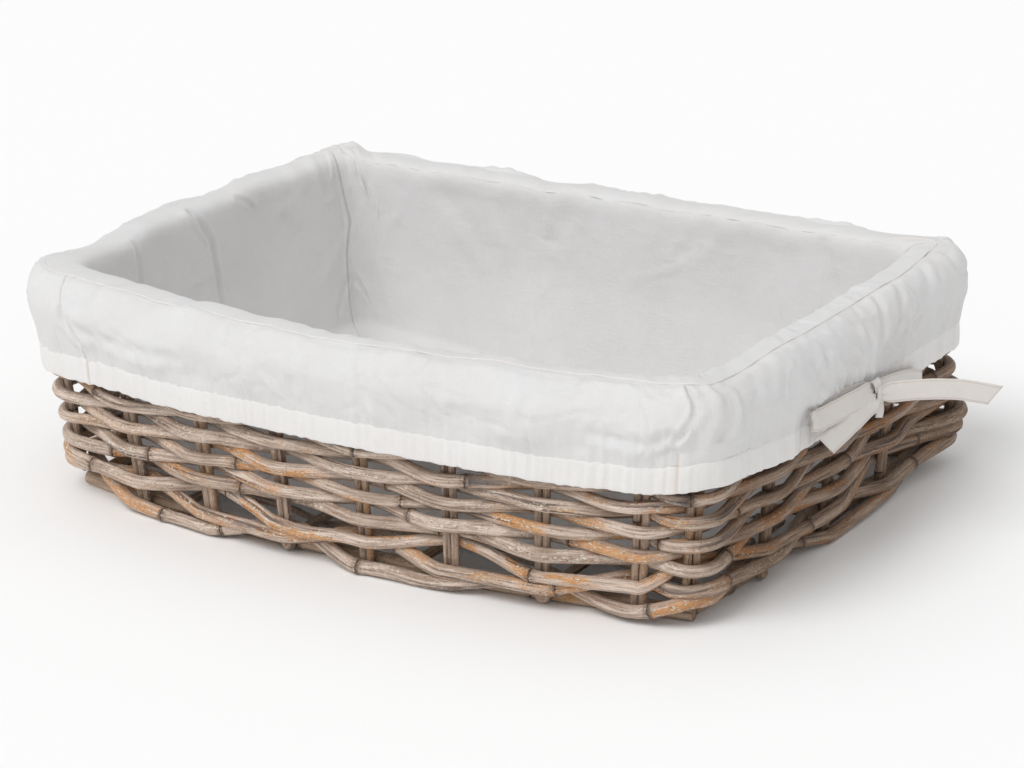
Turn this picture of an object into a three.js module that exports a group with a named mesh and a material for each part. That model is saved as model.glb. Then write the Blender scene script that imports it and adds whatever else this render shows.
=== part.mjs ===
// A rectangular wicker bread basket with a cotton liner, in millimetres.
// +X runs along the basket, -Y faces the front and +Z is up. The basket stands on z = 0.
import * as THREE from "three";

// ---------- Driving dimensions ----------
const BASE_HALF_LENGTH = 282.5; // outer faces of the base frame
const BASE_HALF_WIDTH = 199;
const BASE_SETBACK = 9; // the base sits this far behind the middle of the rim
const WALL_LEAN_LENGTH = 19; // each end wall leans out by this much over LEAN_HEIGHT
const WALL_LEAN_WIDTH = 7;
const LEAN_HEIGHT = 190;
const CORNER_RADIUS = 20; // of the middle of the woven wall
const FRONT_BOW = 30; // how far the middle of each side stands out from its corners
const BACK_BOW = 16;
const LEFT_BOW = 12;
const RIGHT_BOW = 4;
const BULGE_CORNER = 12; // stake number of the back right corner, where the wall bulges
const BULGE_OUT = 20;
const BULGE_HEIGHT = 45;
const BULGE_REACH = 36; // up and down the wall
const BULGE_STAKES = 0.8; // and along it, in stake numbers
const GAP = 0.3;

const STAKE_RADIUS = 3;
const STAKE_TOP = 172;
const STAKE_BENDS = [130, 105, 85, 65, 48, 34, 24]; // heights at which a leg follows the wall's shape
const LONG_INTERVALS = 8; // stake pairs from one corner pair to the next, along a long side
const SHORT_INTERVALS = 4;
const LONG_SPACING = 0.1335; // of a long side; the last interval before the next corner is shorter

const RAIL_RADIUS = 6.5;
const RAIL_FLAT_HEIGHT = 6.2; // rail centre above its flat underside
const RAIL_END_GAP = 1; // between an end rail and the long rails
const CROSS_ROD_RADIUS = 4;
const CROSS_ROD_HEIGHT = 11.3;
const CROSS_ROD_POSITIONS = [-170, -57, 57, 170];
const FLOOR_STRAND_RADIUS = 3;
const FLOOR_FRONT = -168;
const FLOOR_BACK = 192;
const FLOOR_PASSES = 16;
const FLOOR_HALF_LENGTH = 260;

const ROW_RADIUS = 4.4;
const ROW_COUNT = 12;
const ROW_PITCH = 9.7;
const FIRST_ROW_HEIGHT = 46.2;
const WALE_RADIUS = 3.9;
const WALE_COUNT = 3;
const WALE_PITCH = 10;
const WALE_OUTSIDE_HEIGHT = 6.5; // of the lowest wale strand where it passes outside the stakes
const WALE_CORNER_HEIGHT = 9.5; // where it passes outside a corner
const WALE_INSIDE_HEIGHT = 17.6; // and where it passes inside them, over the base rail
const PASS_HALF_WIDTH = 7; // a strand stays parallel to the wall this far each side of a pair
const PASS_GAP = 0.9; // between a strand and the pair that it passes

// Each rim hoop: distance out from the middle of the wall, height and radius.
const RIM_HOOPS = {
  rim_hoop_outer: { out: 10.4, height: 165.5, radius: 7 },
  rim_hoop_inner: { out: -10.4, height: 165.5, radius: 7 },
  rim_top_outer: { out: 0.5, height: 182, radius: 8 },
  rim_top_inner: { out: -16.5, height: 181.5, radius: 8 },
};

const CLOTH_THICKNESS = 1.6; // two layers and the air between them
const FLOOR_CLOTH_HEIGHT = 22.1; // underside of the liner's floor

const TAPE_WIDTH = 17;
const TAPE_THICKNESS = 1.5;
const KNOT_SIZE = new THREE.Vector3(9, 10, 27);
const KNOT_STATION = 10.15; // stake number on the right side
const KNOT_HEIGHT = 122;
const KNOT_OUT = 25; // from the middle of the wall

// ---------- Materials ----------
function wicker(color, roughness) {
  return new THREE.MeshStandardMaterial({ color, roughness, metalness: 0 });
}

const strandMaterial = () => wicker(0x94816d, 0.6);
const stakeMaterial = () => wicker(0x9a8570, 0.62);
const frameMaterial = () => wicker(0xa08560, 0.65);
const linerMaterial = () => wicker(0xe8e6e2, 0.95);
const tapeMaterial = () => wicker(0xebe5dc, 0.9);

// ---------- Outline of the woven wall ----------
const STAKE_COUNT = 2 * (LONG_INTERVALS + SHORT_INTERVALS);
const SIDE_STARTS = [
  0,
  LONG_INTERVALS,
  LONG_INTERVALS + SHORT_INTERVALS,
  2 * LONG_INTERVALS + SHORT_INTERVALS,
  STAKE_COUNT,
];

function isCorner(stake) {
  return SIDE_STARTS.includes(stake);
}

// Which side of the basket a stake number lies on, and how far along it, from 0 to 1.
// Whole stake numbers are stake pairs; sides run front, right, back, left from corner to corner.
function sidePosition(stakeNumber) {
  const turn = ((stakeNumber % STAKE_COUNT) + STAKE_COUNT) % STAKE_COUNT;
  const side = SIDE_STARTS.findIndex((start) => start > turn) - 1;
  const along = turn - SIDE_STARTS[side];
  if (side % 2 === 1) {
    return { side, fraction: along / SHORT_INTERVALS };
  }
  const lastPair = LONG_INTERVALS - 1;
  if (along <= lastPair) {
    return { side, fraction: along * LONG_SPACING };
  }
  const reached = lastPair * LONG_SPACING;
  return { side, fraction: reached + (along - lastPair) * (1 - reached) };
}

// Stake numbers at which a smooth ring is drawn: every pair, and closer together round the corners.
const CORNER_STEPS = [-0.25, -0.12, 0, 0.12, 0.25];
const RING_STATIONS = Array.from({ length: STAKE_COUNT }, (_, stake) =>
  isCorner(stake) ? CORNER_STEPS.map((step) => stake + step) : [stake],
).flat();

// A point on a rounded rectangle, for one side's fraction from mid-corner to mid-corner.
function roundedRectanglePoint(side, fraction, halfLength, halfWidth, radius) {
  const halfSide = side % 2 === 0 ? halfLength : halfWidth;
  const halfDepth = side % 2 === 0 ? halfWidth : halfLength;
  const straight = 2 * (halfSide - radius);
  const halfArc = (Math.PI / 4) * radius;
  const distance = fraction * (straight + 2 * halfArc);
  const point = new THREE.Vector2();
  if (distance < halfArc) {
    const angle = (5 / 4) * Math.PI + distance / radius;
    point.set(radius - halfSide, radius - halfDepth);
    point.add(new THREE.Vector2(Math.cos(angle), Math.sin(angle)).multiplyScalar(radius));
  } else if (distance > halfArc + straight) {
    const angle = (3 / 2) * Math.PI + (distance - halfArc - straight) / radius;
    point.set(halfSide - radius, radius - halfDepth);
    point.add(new THREE.Vector2(Math.cos(angle), Math.sin(angle)).multiplyScalar(radius));
  } else {
    point.set(radius - halfSide + distance - halfArc, -halfDepth);
  }
  return point.rotateAround(new THREE.Vector2(), (side * Math.PI) / 2);
}

function bowedBy(point, halfLength, halfWidth) {
  const alongX = Math.max(0, 1 - (point.x / halfLength) ** 2);
  const alongY = Math.max(0, 1 - (point.y / halfWidth) ** 2);
  const x = point.x + alongY * (point.x > 0 ? RIGHT_BOW : -LEFT_BOW) * Math.abs(point.x / halfLength);
  const y = point.y + alongX * (point.y > 0 ? BACK_BOW : -FRONT_BOW) * Math.abs(point.y / halfWidth);
  return new THREE.Vector2(x, y);
}

// How far the wall bulges out at its back right corner.
function cornerBulge(stakeNumber, height) {
  const away = Math.abs(stakeNumber - BULGE_CORNER) / BULGE_STAKES;
  const along = away < 1 ? Math.cos((Math.PI / 2) * away) ** 2 : 0;
  return BULGE_OUT * along * Math.exp(-(((height - BULGE_HEIGHT) / BULGE_REACH) ** 2));
}

// A point of the wall's middle surface, drawn in all round by inset.
function wallPoint(stakeNumber, height, inset = 0) {
  const lean = height / LEAN_HEIGHT;
  const stakeOffset = STAKE_RADIUS + GAP;
  const halfLength = BASE_HALF_LENGTH + stakeOffset + lean * WALL_LEAN_LENGTH - inset;
  const halfWidth = BASE_HALF_WIDTH + stakeOffset + lean * WALL_LEAN_WIDTH - inset;
  const radius = Math.max(CORNER_RADIUS - inset, CORNER_RADIUS / 2);
  const { side, fraction } = sidePosition(stakeNumber);
  const flat = roundedRectanglePoint(side, fraction, halfLength, halfWidth, radius);
  const bowed = bowedBy(flat, halfLength, halfWidth);
  const bulge = cornerBulge(stakeNumber, height) * Math.SQRT1_2;
  return new THREE.Vector3(bowed.x + bulge, bowed.y + bulge + BASE_SETBACK * (1 - lean), height);
}

// A point beside the wall: out from its middle surface, and along it from the stake number.
const TANGENT_STEP = 0.02; // of a stake number, each way

function besideWall(stakeNumber, height, out, along = 0, inset = 0) {
  const point = wallPoint(stakeNumber, height, inset);
  const tangent = wallPoint(stakeNumber + TANGENT_STEP, height, inset);
  tangent.sub(wallPoint(stakeNumber - TANGENT_STEP, height, inset)).normalize();
  const outward = new THREE.Vector3(tangent.y, -tangent.x, 0);
  return point.addScaledVector(outward, out).addScaledVector(tangent, along);
}

// ---------- Rods ----------
// A path that passes straight from point to point, and is sampled exactly at its points.
// A section swept along it turns freely, or keeps its x axis pointing down if keepsLevel is set.
class RodPath extends THREE.Curve {
  constructor(points, { closed = false, keepsLevel = false } = {}) {
    super();
    this.points = points;
    this.closed = closed;
    this.keepsLevel = keepsLevel;
    this.segments = closed ? points.length : points.length - 1;
  }

  corner(index) {
    const count = this.points.length;
    if (this.closed) {
      return this.points[((index % count) + count) % count];
    }
    return this.points[THREE.MathUtils.clamp(index, 0, count - 1)];
  }

  getPointAt(fraction) {
    return this.corner(Math.round(fraction * this.segments)).clone();
  }

  getTangentAt(fraction) {
    const index = Math.round(fraction * this.segments);
    return this.corner(index + 1).clone().sub(this.corner(index - 1)).normalize();
  }

  computeFrenetFrames(segments, closed) {
    if (!this.keepsLevel) {
      return super.computeFrenetFrames(segments, closed);
    }
    const frames = { tangents: [], normals: [], binormals: [] };
    for (let i = 0; i <= segments; i++) {
      const tangent = this.getTangentAt(i / segments);
      const normal = new THREE.Vector3(0, 0, -1).projectOnPlane(tangent).normalize();
      frames.tangents.push(tangent);
      frames.normals.push(normal);
      frames.binormals.push(new THREE.Vector3().crossVectors(tangent, normal));
    }
    return frames;
  }
}

function sweptShape(points, shape, keepsLevel = false) {
  const path = new RodPath(points, { keepsLevel });
  return new THREE.ExtrudeGeometry(shape, {
    steps: path.segments,
    extrudePath: path,
    curveSegments: 6,
  });
}

function polygonShape(radius, sides) {
  const corners = Array.from({ length: sides }, (_, i) => {
    const angle = (2 * Math.PI * i) / sides;
    return new THREE.Vector2(radius * Math.cos(angle), radius * Math.sin(angle));
  });
  return new THREE.Shape(corners);
}

function rod(points, radius, sides) {
  return sweptShape(points, polygonShape(radius, sides));
}

function hoop(points, radius, sides) {
  const path = new RodPath(points, { closed: true });
  return new THREE.TubeGeometry(path, path.segments, radius, sides, true);
}

// ---------- Assembly ----------
const basket = new THREE.Group();

function addPiece(name, geometry, material) {
  const mesh = new THREE.Mesh(geometry, material);
  mesh.name = name;
  basket.add(mesh);
}

// ---------- Base frame ----------
// The middle line of a long rail at x; sign is -1 for the front rail and 1 for the back one.
function longRailPoint(x, sign) {
  const bow = sign < 0 ? FRONT_BOW : BACK_BOW;
  const out = BASE_HALF_WIDTH - RAIL_RADIUS + bow * (1 - (x / BASE_HALF_LENGTH) ** 2);
  return new THREE.Vector3(x, BASE_SETBACK + sign * out, RAIL_FLAT_HEIGHT);
}

function endRailPoint(y, sign) {
  const bow = sign < 0 ? LEFT_BOW : RIGHT_BOW;
  const middle = (y - BASE_SETBACK) / BASE_HALF_WIDTH;
  const out = BASE_HALF_LENGTH - RAIL_RADIUS + bow * (1 - middle ** 2);
  return new THREE.Vector3(sign * out, y, RAIL_FLAT_HEIGHT);
}

// A rail's section: round, with its underside cut flat. Shape x points down along a level path.
function railShape() {
  const cut = Math.acos(RAIL_FLAT_HEIGHT / RAIL_RADIUS);
  const shape = new THREE.Shape();
  shape.absarc(0, 0, RAIL_RADIUS, cut, 2 * Math.PI - cut, false);
  return shape;
}

function pointsBetween(start, end, count, pointAt) {
  return Array.from({ length: count + 1 }, (_, i) => pointAt(start + ((end - start) * i) / count));
}

function addBaseFrame() {
  for (const [name, sign] of [["base_rail_front", -1], ["base_rail_back", 1]]) {
    const line = pointsBetween(-BASE_HALF_LENGTH, BASE_HALF_LENGTH, 8, (x) => longRailPoint(x, sign));
    addPiece(name, sweptShape(line, railShape(), true), frameMaterial());
  }
  const reach = BASE_HALF_WIDTH - 2 * RAIL_RADIUS - RAIL_END_GAP;
  for (const [name, sign] of [["base_rail_left", -1], ["base_rail_right", 1]]) {
    const line = pointsBetween(BASE_SETBACK - reach, BASE_SETBACK + reach, 4, (y) => endRailPoint(y, sign));
    addPiece(name, sweptShape(line, railShape(), true), frameMaterial());
  }
  CROSS_ROD_POSITIONS.forEach((x, index) => {
    const front = longRailPoint(x, -1).y + RAIL_RADIUS + GAP;
    const back = longRailPoint(x, 1).y - RAIL_RADIUS - GAP;
    const ends = [front, back].map((y) => new THREE.Vector3(x, y, CROSS_ROD_HEIGHT));
    addPiece(`base_cross_rod_${index + 1}`, rod(ends, CROSS_ROD_RADIUS, 8), frameMaterial());
  });
}

// One long strand goes to and fro across the cross rods, over one and under the next.
function addFloorWeave() {
  const rise = CROSS_ROD_RADIUS + FLOOR_STRAND_RADIUS + GAP;
  const points = [];
  for (let pass = 0; pass < FLOOR_PASSES; pass++) {
    const y = THREE.MathUtils.lerp(FLOOR_FRONT, FLOOR_BACK, pass / (FLOOR_PASSES - 1));
    const direction = pass % 2 === 0 ? 1 : -1;
    const crossings = CROSS_ROD_POSITIONS.map((x, index) => {
      const over = (index + pass) % 2 === 0 ? rise : -rise;
      return new THREE.Vector3(x, y, CROSS_ROD_HEIGHT + over);
    });
    if (direction < 0) {
      crossings.reverse();
    }
    points.push(new THREE.Vector3(-direction * FLOOR_HALF_LENGTH, y, CROSS_ROD_HEIGHT));
    points.push(...crossings);
    points.push(new THREE.Vector3(direction * FLOOR_HALF_LENGTH, y, CROSS_ROD_HEIGHT));
  }
  addPiece("floor_weave", rod(points, FLOOR_STRAND_RADIUS, 5), strandMaterial());
}

// ---------- Stakes ----------
// Each pair is one rod bent double at the foot of the wall, its legs side by side.
// A corner pair stands on the base rails' joint; the others stand just outside the rails.
function addStakes() {
  const legOffset = STAKE_RADIUS + GAP;
  const railTop = RAIL_FLAT_HEIGHT + RAIL_RADIUS;
  for (let stake = 0; stake < STAKE_COUNT; stake++) {
    const foot = isCorner(stake) ? railTop + GAP : GAP;
    const bendHeight = foot + STAKE_RADIUS + legOffset;
    const points = [STAKE_TOP, ...STAKE_BENDS].map((height) => besideWall(stake, height, 0, -legOffset));
    for (const angle of [Math.PI, (4 / 3) * Math.PI, (5 / 3) * Math.PI, 2 * Math.PI]) {
      const height = bendHeight + legOffset * Math.sin(angle);
      points.push(besideWall(stake, height, 0, legOffset * Math.cos(angle)));
    }
    for (const height of [...STAKE_BENDS.toReversed(), STAKE_TOP]) {
      points.push(besideWall(stake, height, 0, legOffset));
    }
    const name = `stake_pair_${String(stake + 1).padStart(2, "0")}`;
    addPiece(name, rod(points, STAKE_RADIUS, 6), stakeMaterial());
  }
}

// ---------- Weave ----------
// A strand that runs right round the wall; passAt says where it is at each stake pair.
function wovenRing(radius, passAt) {
  const points = [];
  for (let stake = 0; stake < STAKE_COUNT; stake++) {
    const { height, side } = passAt(stake);
    const out = side * (STAKE_RADIUS + radius + PASS_GAP);
    points.push(besideWall(stake, height, out, -PASS_HALF_WIDTH));
    points.push(besideWall(stake, height, out, PASS_HALF_WIDTH));
  }
  return hoop(points, radius, 5);
}

// The foot of the wall: each strand goes outside two pairs and inside the third.
// Inside the wall it passes over the base rails, and outside it hides them.
function addWale() {
  for (let strand = 0; strand < WALE_COUNT; strand++) {
    const passAt = (stake) => {
      const inside = (stake - strand + WALE_COUNT) % WALE_COUNT === 0;
      const outsideHeight = isCorner(stake) ? WALE_CORNER_HEIGHT : WALE_OUTSIDE_HEIGHT;
      const height = (inside ? WALE_INSIDE_HEIGHT : outsideHeight) + strand * WALE_PITCH;
      return { height, side: inside ? -1 : 1 };
    };
    addPiece(`wale_strand_${strand + 1}`, wovenRing(WALE_RADIUS, passAt), strandMaterial());
  }
}

function addRows() {
  for (let row = 0; row < ROW_COUNT; row++) {
    const height = FIRST_ROW_HEIGHT + row * ROW_PITCH;
    const passAt = (stake) => ({ height, side: (stake + row) % 2 === 0 ? 1 : -1 });
    const name = `weave_row_${String(row + 1).padStart(2, "0")}`;
    addPiece(name, wovenRing(ROW_RADIUS, passAt), strandMaterial());
  }
}

function addRim() {
  for (const [name, { out, height, radius }] of Object.entries(RIM_HOOPS)) {
    const points = RING_STATIONS.map((at) => besideWall(at, height, out));
    addPiece(name, hoop(points, radius, 6), frameMaterial());
  }
}

// ---------- Liner ----------
// A profile is a list of [distance out from the middle of the wall, height].
// The tub lines the inside and covers the flat top of the rim; the skirt hangs outside from its edge.
const TUB_PROFILE = [
  [-31, FLOOR_CLOTH_HEIGHT],
  [-26.4, 176],
  [-25, 186],
  [-20, 190],
  [-2.8, 190.6],
];
const SKIRT_PROFILE = [
  [-2.4, 190.6],
  [6.5, 189.6],
  [13.4, 181],
  [18.2, 170],
  [18.2, 160],
  [15.4, 146],
  [14.2, 130.4],
];
const CASING_SECTION = [
  [14.2, 130],
  [13.9, 118],
  [14.2, 107],
  [17.6, 107.5],
  [18.8, 118],
  [17.2, 129.8],
];

// The same profile moved sideways by the cloth's thickness; positive is to its right.
function shiftedProfile(profile, distance) {
  return profile.map(([out, height], index) => {
    const before = profile[Math.max(index - 1, 0)];
    const after = profile[Math.min(index + 1, profile.length - 1)];
    const direction = new THREE.Vector2(after[0] - before[0], after[1] - before[1]).normalize();
    return [out + distance * direction.y, height - distance * direction.x];
  });
}

// The ring of points that one profile point traces round the wall.
function profileRing([out, height]) {
  const inset = Math.max(0, -out);
  return RING_STATIONS.map((at) => besideWall(at, height, out + inset, 0, inset));
}

// Bands of triangles from each ring to the next, with a fan to a middle point at each open end.
function ringSurface(rings, closesOnItself) {
  const count = rings[0].length;
  const positions = rings.flat().flatMap((point) => point.toArray());
  const triangles = [];
  const bands = closesOnItself ? rings.length : rings.length - 1;
  for (let band = 0; band < bands; band++) {
    const lower = band * count;
    const upper = ((band + 1) % rings.length) * count;
    for (let i = 0; i < count; i++) {
      const next = (i + 1) % count;
      triangles.push(lower + i, lower + next, upper + next);
      triangles.push(lower + i, upper + next, upper + i);
    }
  }
  if (!closesOnItself) {
    for (const [ring, facesDown] of [[0, true], [rings.length - 1, false]]) {
      const middle = positions.length / 3;
      positions.push(0, BASE_SETBACK, rings[ring][0].z);
      for (let i = 0; i < count; i++) {
        const here = ring * count + i;
        const next = ring * count + ((i + 1) % count);
        triangles.push(middle, facesDown ? next : here, facesDown ? here : next);
      }
    }
  }
  const geometry = new THREE.BufferGeometry();
  geometry.setAttribute("position", new THREE.Float32BufferAttribute(positions, 3));
  geometry.setIndex(triangles);
  geometry.computeVertexNormals();
  return geometry;
}

function addLiner() {
  const [footOut, footHeight] = TUB_PROFILE[0];
  const tubInside = shiftedProfile(TUB_PROFILE, -CLOTH_THICKNESS).reverse();
  tubInside[tubInside.length - 1] = [footOut - CLOTH_THICKNESS, footHeight + CLOTH_THICKNESS];
  const tub = [...TUB_PROFILE, ...tubInside].map(profileRing);
  addPiece("liner_tub", ringSurface(tub, false), linerMaterial());

  const skirtOutside = shiftedProfile(SKIRT_PROFILE, -CLOTH_THICKNESS).reverse();
  const skirt = [...SKIRT_PROFILE, ...skirtOutside].map(profileRing);
  addPiece("liner_skirt", ringSurface(skirt, true), linerMaterial());

  addPiece("liner_hem_casing", ringSurface(CASING_SECTION.map(profileRing), true), linerMaterial());
}

// ---------- Drawstring tie ----------
// Each route starts at the knot: distances from its centre along X, Y and Z.
const TIE_ROUTES = {
  tie_tail_long: [[5.4, 2, 2], [20, 11, 4], [40, 22, 5.5], [58, 32, 5], [81, 44, 1]],
  tie_tail_short: [[4, -6, -3], [4, -24, -4], [4.5, -44, -5], [6, -86, -9]],
  tie_loop: [
    [-3, -6, 5],
    [-4, -30, 8],
    [-5, -60, 10.5],
    [-5, -88, 12],
    [-2.5, -98, 12],
    [0.2, -88, 12],
    [1, -60, 10.5],
    [1, -30, 8],
    [0.2, -6, 5],
  ],
};

function tapeShape() {
  const shape = new THREE.Shape();
  shape.moveTo(-TAPE_WIDTH / 2, -TAPE_THICKNESS / 2);
  shape.lineTo(TAPE_WIDTH / 2, -TAPE_THICKNESS / 2);
  shape.lineTo(TAPE_WIDTH / 2, TAPE_THICKNESS / 2);
  shape.lineTo(-TAPE_WIDTH / 2, TAPE_THICKNESS / 2);
  return shape;
}

function addTie() {
  const centre = besideWall(KNOT_STATION, KNOT_HEIGHT, KNOT_OUT);
  const knot = new THREE.SphereGeometry(0.5, 10, 8);
  knot.scale(...KNOT_SIZE.toArray());
  knot.translate(...centre.toArray());
  addPiece("tie_knot", knot, tapeMaterial());
  for (const [name, route] of Object.entries(TIE_ROUTES)) {
    const points = route.map((step) => centre.clone().add(new THREE.Vector3(...step)));
    addPiece(name, sweptShape(points, tapeShape(), true), tapeMaterial());
  }
}

addBaseFrame();
addFloorWeave();
addStakes();
addWale();
addRows();
addRim();
addLiner();
addTie();

// The origin is the middle of the footprint, tie included.
const footprint = new THREE.Box3().setFromObject(basket, true);
const middle = footprint.getCenter(new THREE.Vector3());
basket.position.set(-middle.x, -middle.y, 0);

export default basket;
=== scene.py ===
"""Looks of a rectangular wicker bread basket with a tied cotton liner.

Shapes are worked out in millimetres about the middle of the basket, with +X along it, -Y to the
front and +Z up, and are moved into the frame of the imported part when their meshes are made.
"""

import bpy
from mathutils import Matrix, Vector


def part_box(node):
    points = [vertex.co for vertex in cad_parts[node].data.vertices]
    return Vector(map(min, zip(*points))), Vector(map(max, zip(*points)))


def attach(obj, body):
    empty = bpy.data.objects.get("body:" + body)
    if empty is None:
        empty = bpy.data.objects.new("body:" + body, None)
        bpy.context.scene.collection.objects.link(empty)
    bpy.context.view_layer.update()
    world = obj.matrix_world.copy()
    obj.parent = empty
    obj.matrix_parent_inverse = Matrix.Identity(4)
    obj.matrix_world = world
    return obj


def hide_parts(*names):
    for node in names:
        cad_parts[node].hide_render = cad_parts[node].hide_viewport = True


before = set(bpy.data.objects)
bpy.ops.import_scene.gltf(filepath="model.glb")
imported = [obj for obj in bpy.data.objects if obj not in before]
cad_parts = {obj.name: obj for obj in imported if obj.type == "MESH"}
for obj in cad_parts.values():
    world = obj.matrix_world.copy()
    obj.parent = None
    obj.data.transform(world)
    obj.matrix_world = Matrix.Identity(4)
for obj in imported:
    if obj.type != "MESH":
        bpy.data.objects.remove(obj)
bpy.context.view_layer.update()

import math

import bpy
import numpy as np
from mathutils import Matrix, Vector

MM = 0.001
TURN = 2 * math.pi

# ---------- Dimensions shared with the CAD part, in millimetres ----------
BASE_HALF_LENGTH = 282.5
BASE_HALF_WIDTH = 199
BASE_SETBACK = 9
WALL_LEAN_LENGTH = 19
WALL_LEAN_WIDTH = 7
LEAN_HEIGHT = 190
CORNER_RADIUS = 20
FRONT_BOW, BACK_BOW, LEFT_BOW, RIGHT_BOW = 30, 16, 12, 4
BULGE_CORNER, BULGE_OUT, BULGE_HEIGHT, BULGE_REACH, BULGE_STAKES = 12, 20, 45, 36, 0.8
STAKE_COUNT = 24
LONG_INTERVALS = 8
SHORT_INTERVALS = 4
LONG_SPACING = 0.1335
CORNERS = (0, 8, 12, 20)  # stake numbers at the ends of the sides, from the front left corner
STAKE_RADIUS = 3
STAKE_OFFSET = 3.3
STAKE_TOP = 172
RAIL_RADIUS = 6.5
RAIL_HEIGHT = 6.4
CROSS_ROD_RADIUS = 4
CROSS_ROD_HEIGHT = 11.3
CROSS_ROD_POSITIONS = (-170, -57, 57, 170)
FLOOR_FRONT, FLOOR_BACK, FLOOR_PASSES, FLOOR_HALF_LENGTH = -168, 192, 16, 260
ROW_COUNT = 12
ROW_PITCH = 9.7
FIRST_ROW_HEIGHT = 46.2
TANGENT_STEP = 0.02  # of a stake number, each way
KNOT_STATION, KNOT_HEIGHT, KNOT_OUT = 10.15, 122, 25


# ---------- Outline of the woven wall ----------
def side_position(stake):
    """Side of the basket and fraction along it, for each stake number."""
    turn = np.mod(np.asarray(stake, float), STAKE_COUNT)
    side = np.searchsorted(CORNERS, turn, side="right") - 1
    along = turn - np.array(CORNERS)[side]
    last = LONG_INTERVALS - 1
    reached = last * LONG_SPACING
    long_side = np.where(along <= last, along * LONG_SPACING, reached + (along - last) * (1 - reached))
    return side, np.where(side % 2 == 1, along / SHORT_INTERVALS, long_side)


def rounded_rectangle(side, fraction, half_length, half_width, radius):
    """Points on a rectangle with rounded corners. Each side starts in the middle of its first corner."""
    half_side = np.where(side % 2 == 0, half_length, half_width)
    half_depth = np.where(side % 2 == 0, half_width, half_length)
    straight = 2 * (half_side - radius)
    half_arc = math.pi / 4 * radius
    distance = fraction * (straight + 2 * half_arc)
    first = distance < half_arc
    final = distance > half_arc + straight
    turned = np.where(first, distance, distance - half_arc - straight) / radius
    angle = np.where(first, 1.25 * math.pi, 1.5 * math.pi) + turned
    centre = np.where(first, radius - half_side, half_side - radius)
    on_arc = first | final
    x = np.where(on_arc, centre + radius * np.cos(angle), radius - half_side + distance - half_arc)
    y = np.where(on_arc, radius - half_depth + radius * np.sin(angle), -half_depth)
    spin = side * math.pi / 2
    return x * np.cos(spin) - y * np.sin(spin), x * np.sin(spin) + y * np.cos(spin)


def corner_bulge(stake, height):
    """How far the wall bulges out at its back right corner."""
    away = np.minimum(np.abs(np.mod(stake, STAKE_COUNT) - BULGE_CORNER) / BULGE_STAKES, 1)
    along = np.cos(math.pi / 2 * away) ** 2
    return BULGE_OUT * along * np.exp(-(((height - BULGE_HEIGHT) / BULGE_REACH) ** 2))


def wall_point(stake, height, inset=0.0):
    """Points of the wall's middle surface, drawn in all round by inset."""
    stake, height, inset = np.broadcast_arrays(*(np.asarray(a, float) for a in (stake, height, inset)))
    lean = height / LEAN_HEIGHT
    half_length = BASE_HALF_LENGTH + STAKE_OFFSET + lean * WALL_LEAN_LENGTH - inset
    half_width = BASE_HALF_WIDTH + STAKE_OFFSET + lean * WALL_LEAN_WIDTH - inset
    radius = np.maximum(CORNER_RADIUS - inset, CORNER_RADIUS / 2)
    side, fraction = side_position(stake)
    x, y = rounded_rectangle(side, fraction, half_length, half_width, radius)
    along_x = np.maximum(0, 1 - (x / half_length) ** 2)
    along_y = np.maximum(0, 1 - (y / half_width) ** 2)
    bowed_x = x + along_y * np.where(x > 0, RIGHT_BOW, -LEFT_BOW) * np.abs(x / half_length)
    bowed_y = y + along_x * np.where(y > 0, BACK_BOW, -FRONT_BOW) * np.abs(y / half_width)
    bulge = corner_bulge(stake, height) * math.sqrt(0.5)
    return np.stack([bowed_x + bulge, bowed_y + bulge + BASE_SETBACK * (1 - lean), height], -1)


def wall_directions(stake, height, inset=0.0):
    """Unit vectors along the wall and straight out of it."""
    stake = np.asarray(stake)
    ahead = wall_point(stake + TANGENT_STEP, height, inset)
    along = ahead - wall_point(stake - TANGENT_STEP, height, inset)
    along /= np.linalg.norm(along, axis=-1, keepdims=True)
    outward = np.stack([along[..., 1], -along[..., 0], np.zeros(along.shape[:-1])], -1)
    return along, outward


def beside_wall(stake, height, out, shift=0.0):
    """Points at a distance out from the wall's middle surface, moved along it by shift."""
    inset = np.maximum(0, -np.asarray(out, float))
    along, outward = wall_directions(stake, height, inset)
    out, shift = (np.asarray(a, float)[..., None] for a in (out, shift))
    return wall_point(stake, height, inset) + outward * (out + inset[..., None]) + along * shift


KNOT_CENTRE = beside_wall(KNOT_STATION, KNOT_HEIGHT, KNOT_OUT)
FRAME_SHIFT = np.array(sum(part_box("tie_knot"), Vector()) / 2) / MM - KNOT_CENTRE


# ---------- Smooth random variation ----------
class Ripple:
    """A smooth random field, round which stake numbers repeat; its values stay near -1 to 1."""

    def __init__(self, seed, turns, rises=(0, 0), waves=14):
        rng = np.random.default_rng(seed)
        self.turns = rng.integers(turns[0], turns[1] + 1, waves) * rng.choice([-1, 1], waves)
        self.rises = rng.uniform(*rises, waves)
        self.phases = rng.uniform(0, TURN, waves)
        self.scale = math.sqrt(2 / waves) * 0.7

    def __call__(self, stake, rise=0.0):
        stake, rise = np.broadcast_arrays(np.asarray(stake, float), np.asarray(rise, float))
        angle = stake[..., None] * TURN / STAKE_COUNT * self.turns + rise[..., None] * TURN * self.rises
        return np.sin(angle + self.phases).sum(-1) * self.scale


def smooth_step(x):
    x = np.clip(x, 0, 1)
    return x * x * (3 - 2 * x)


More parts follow.
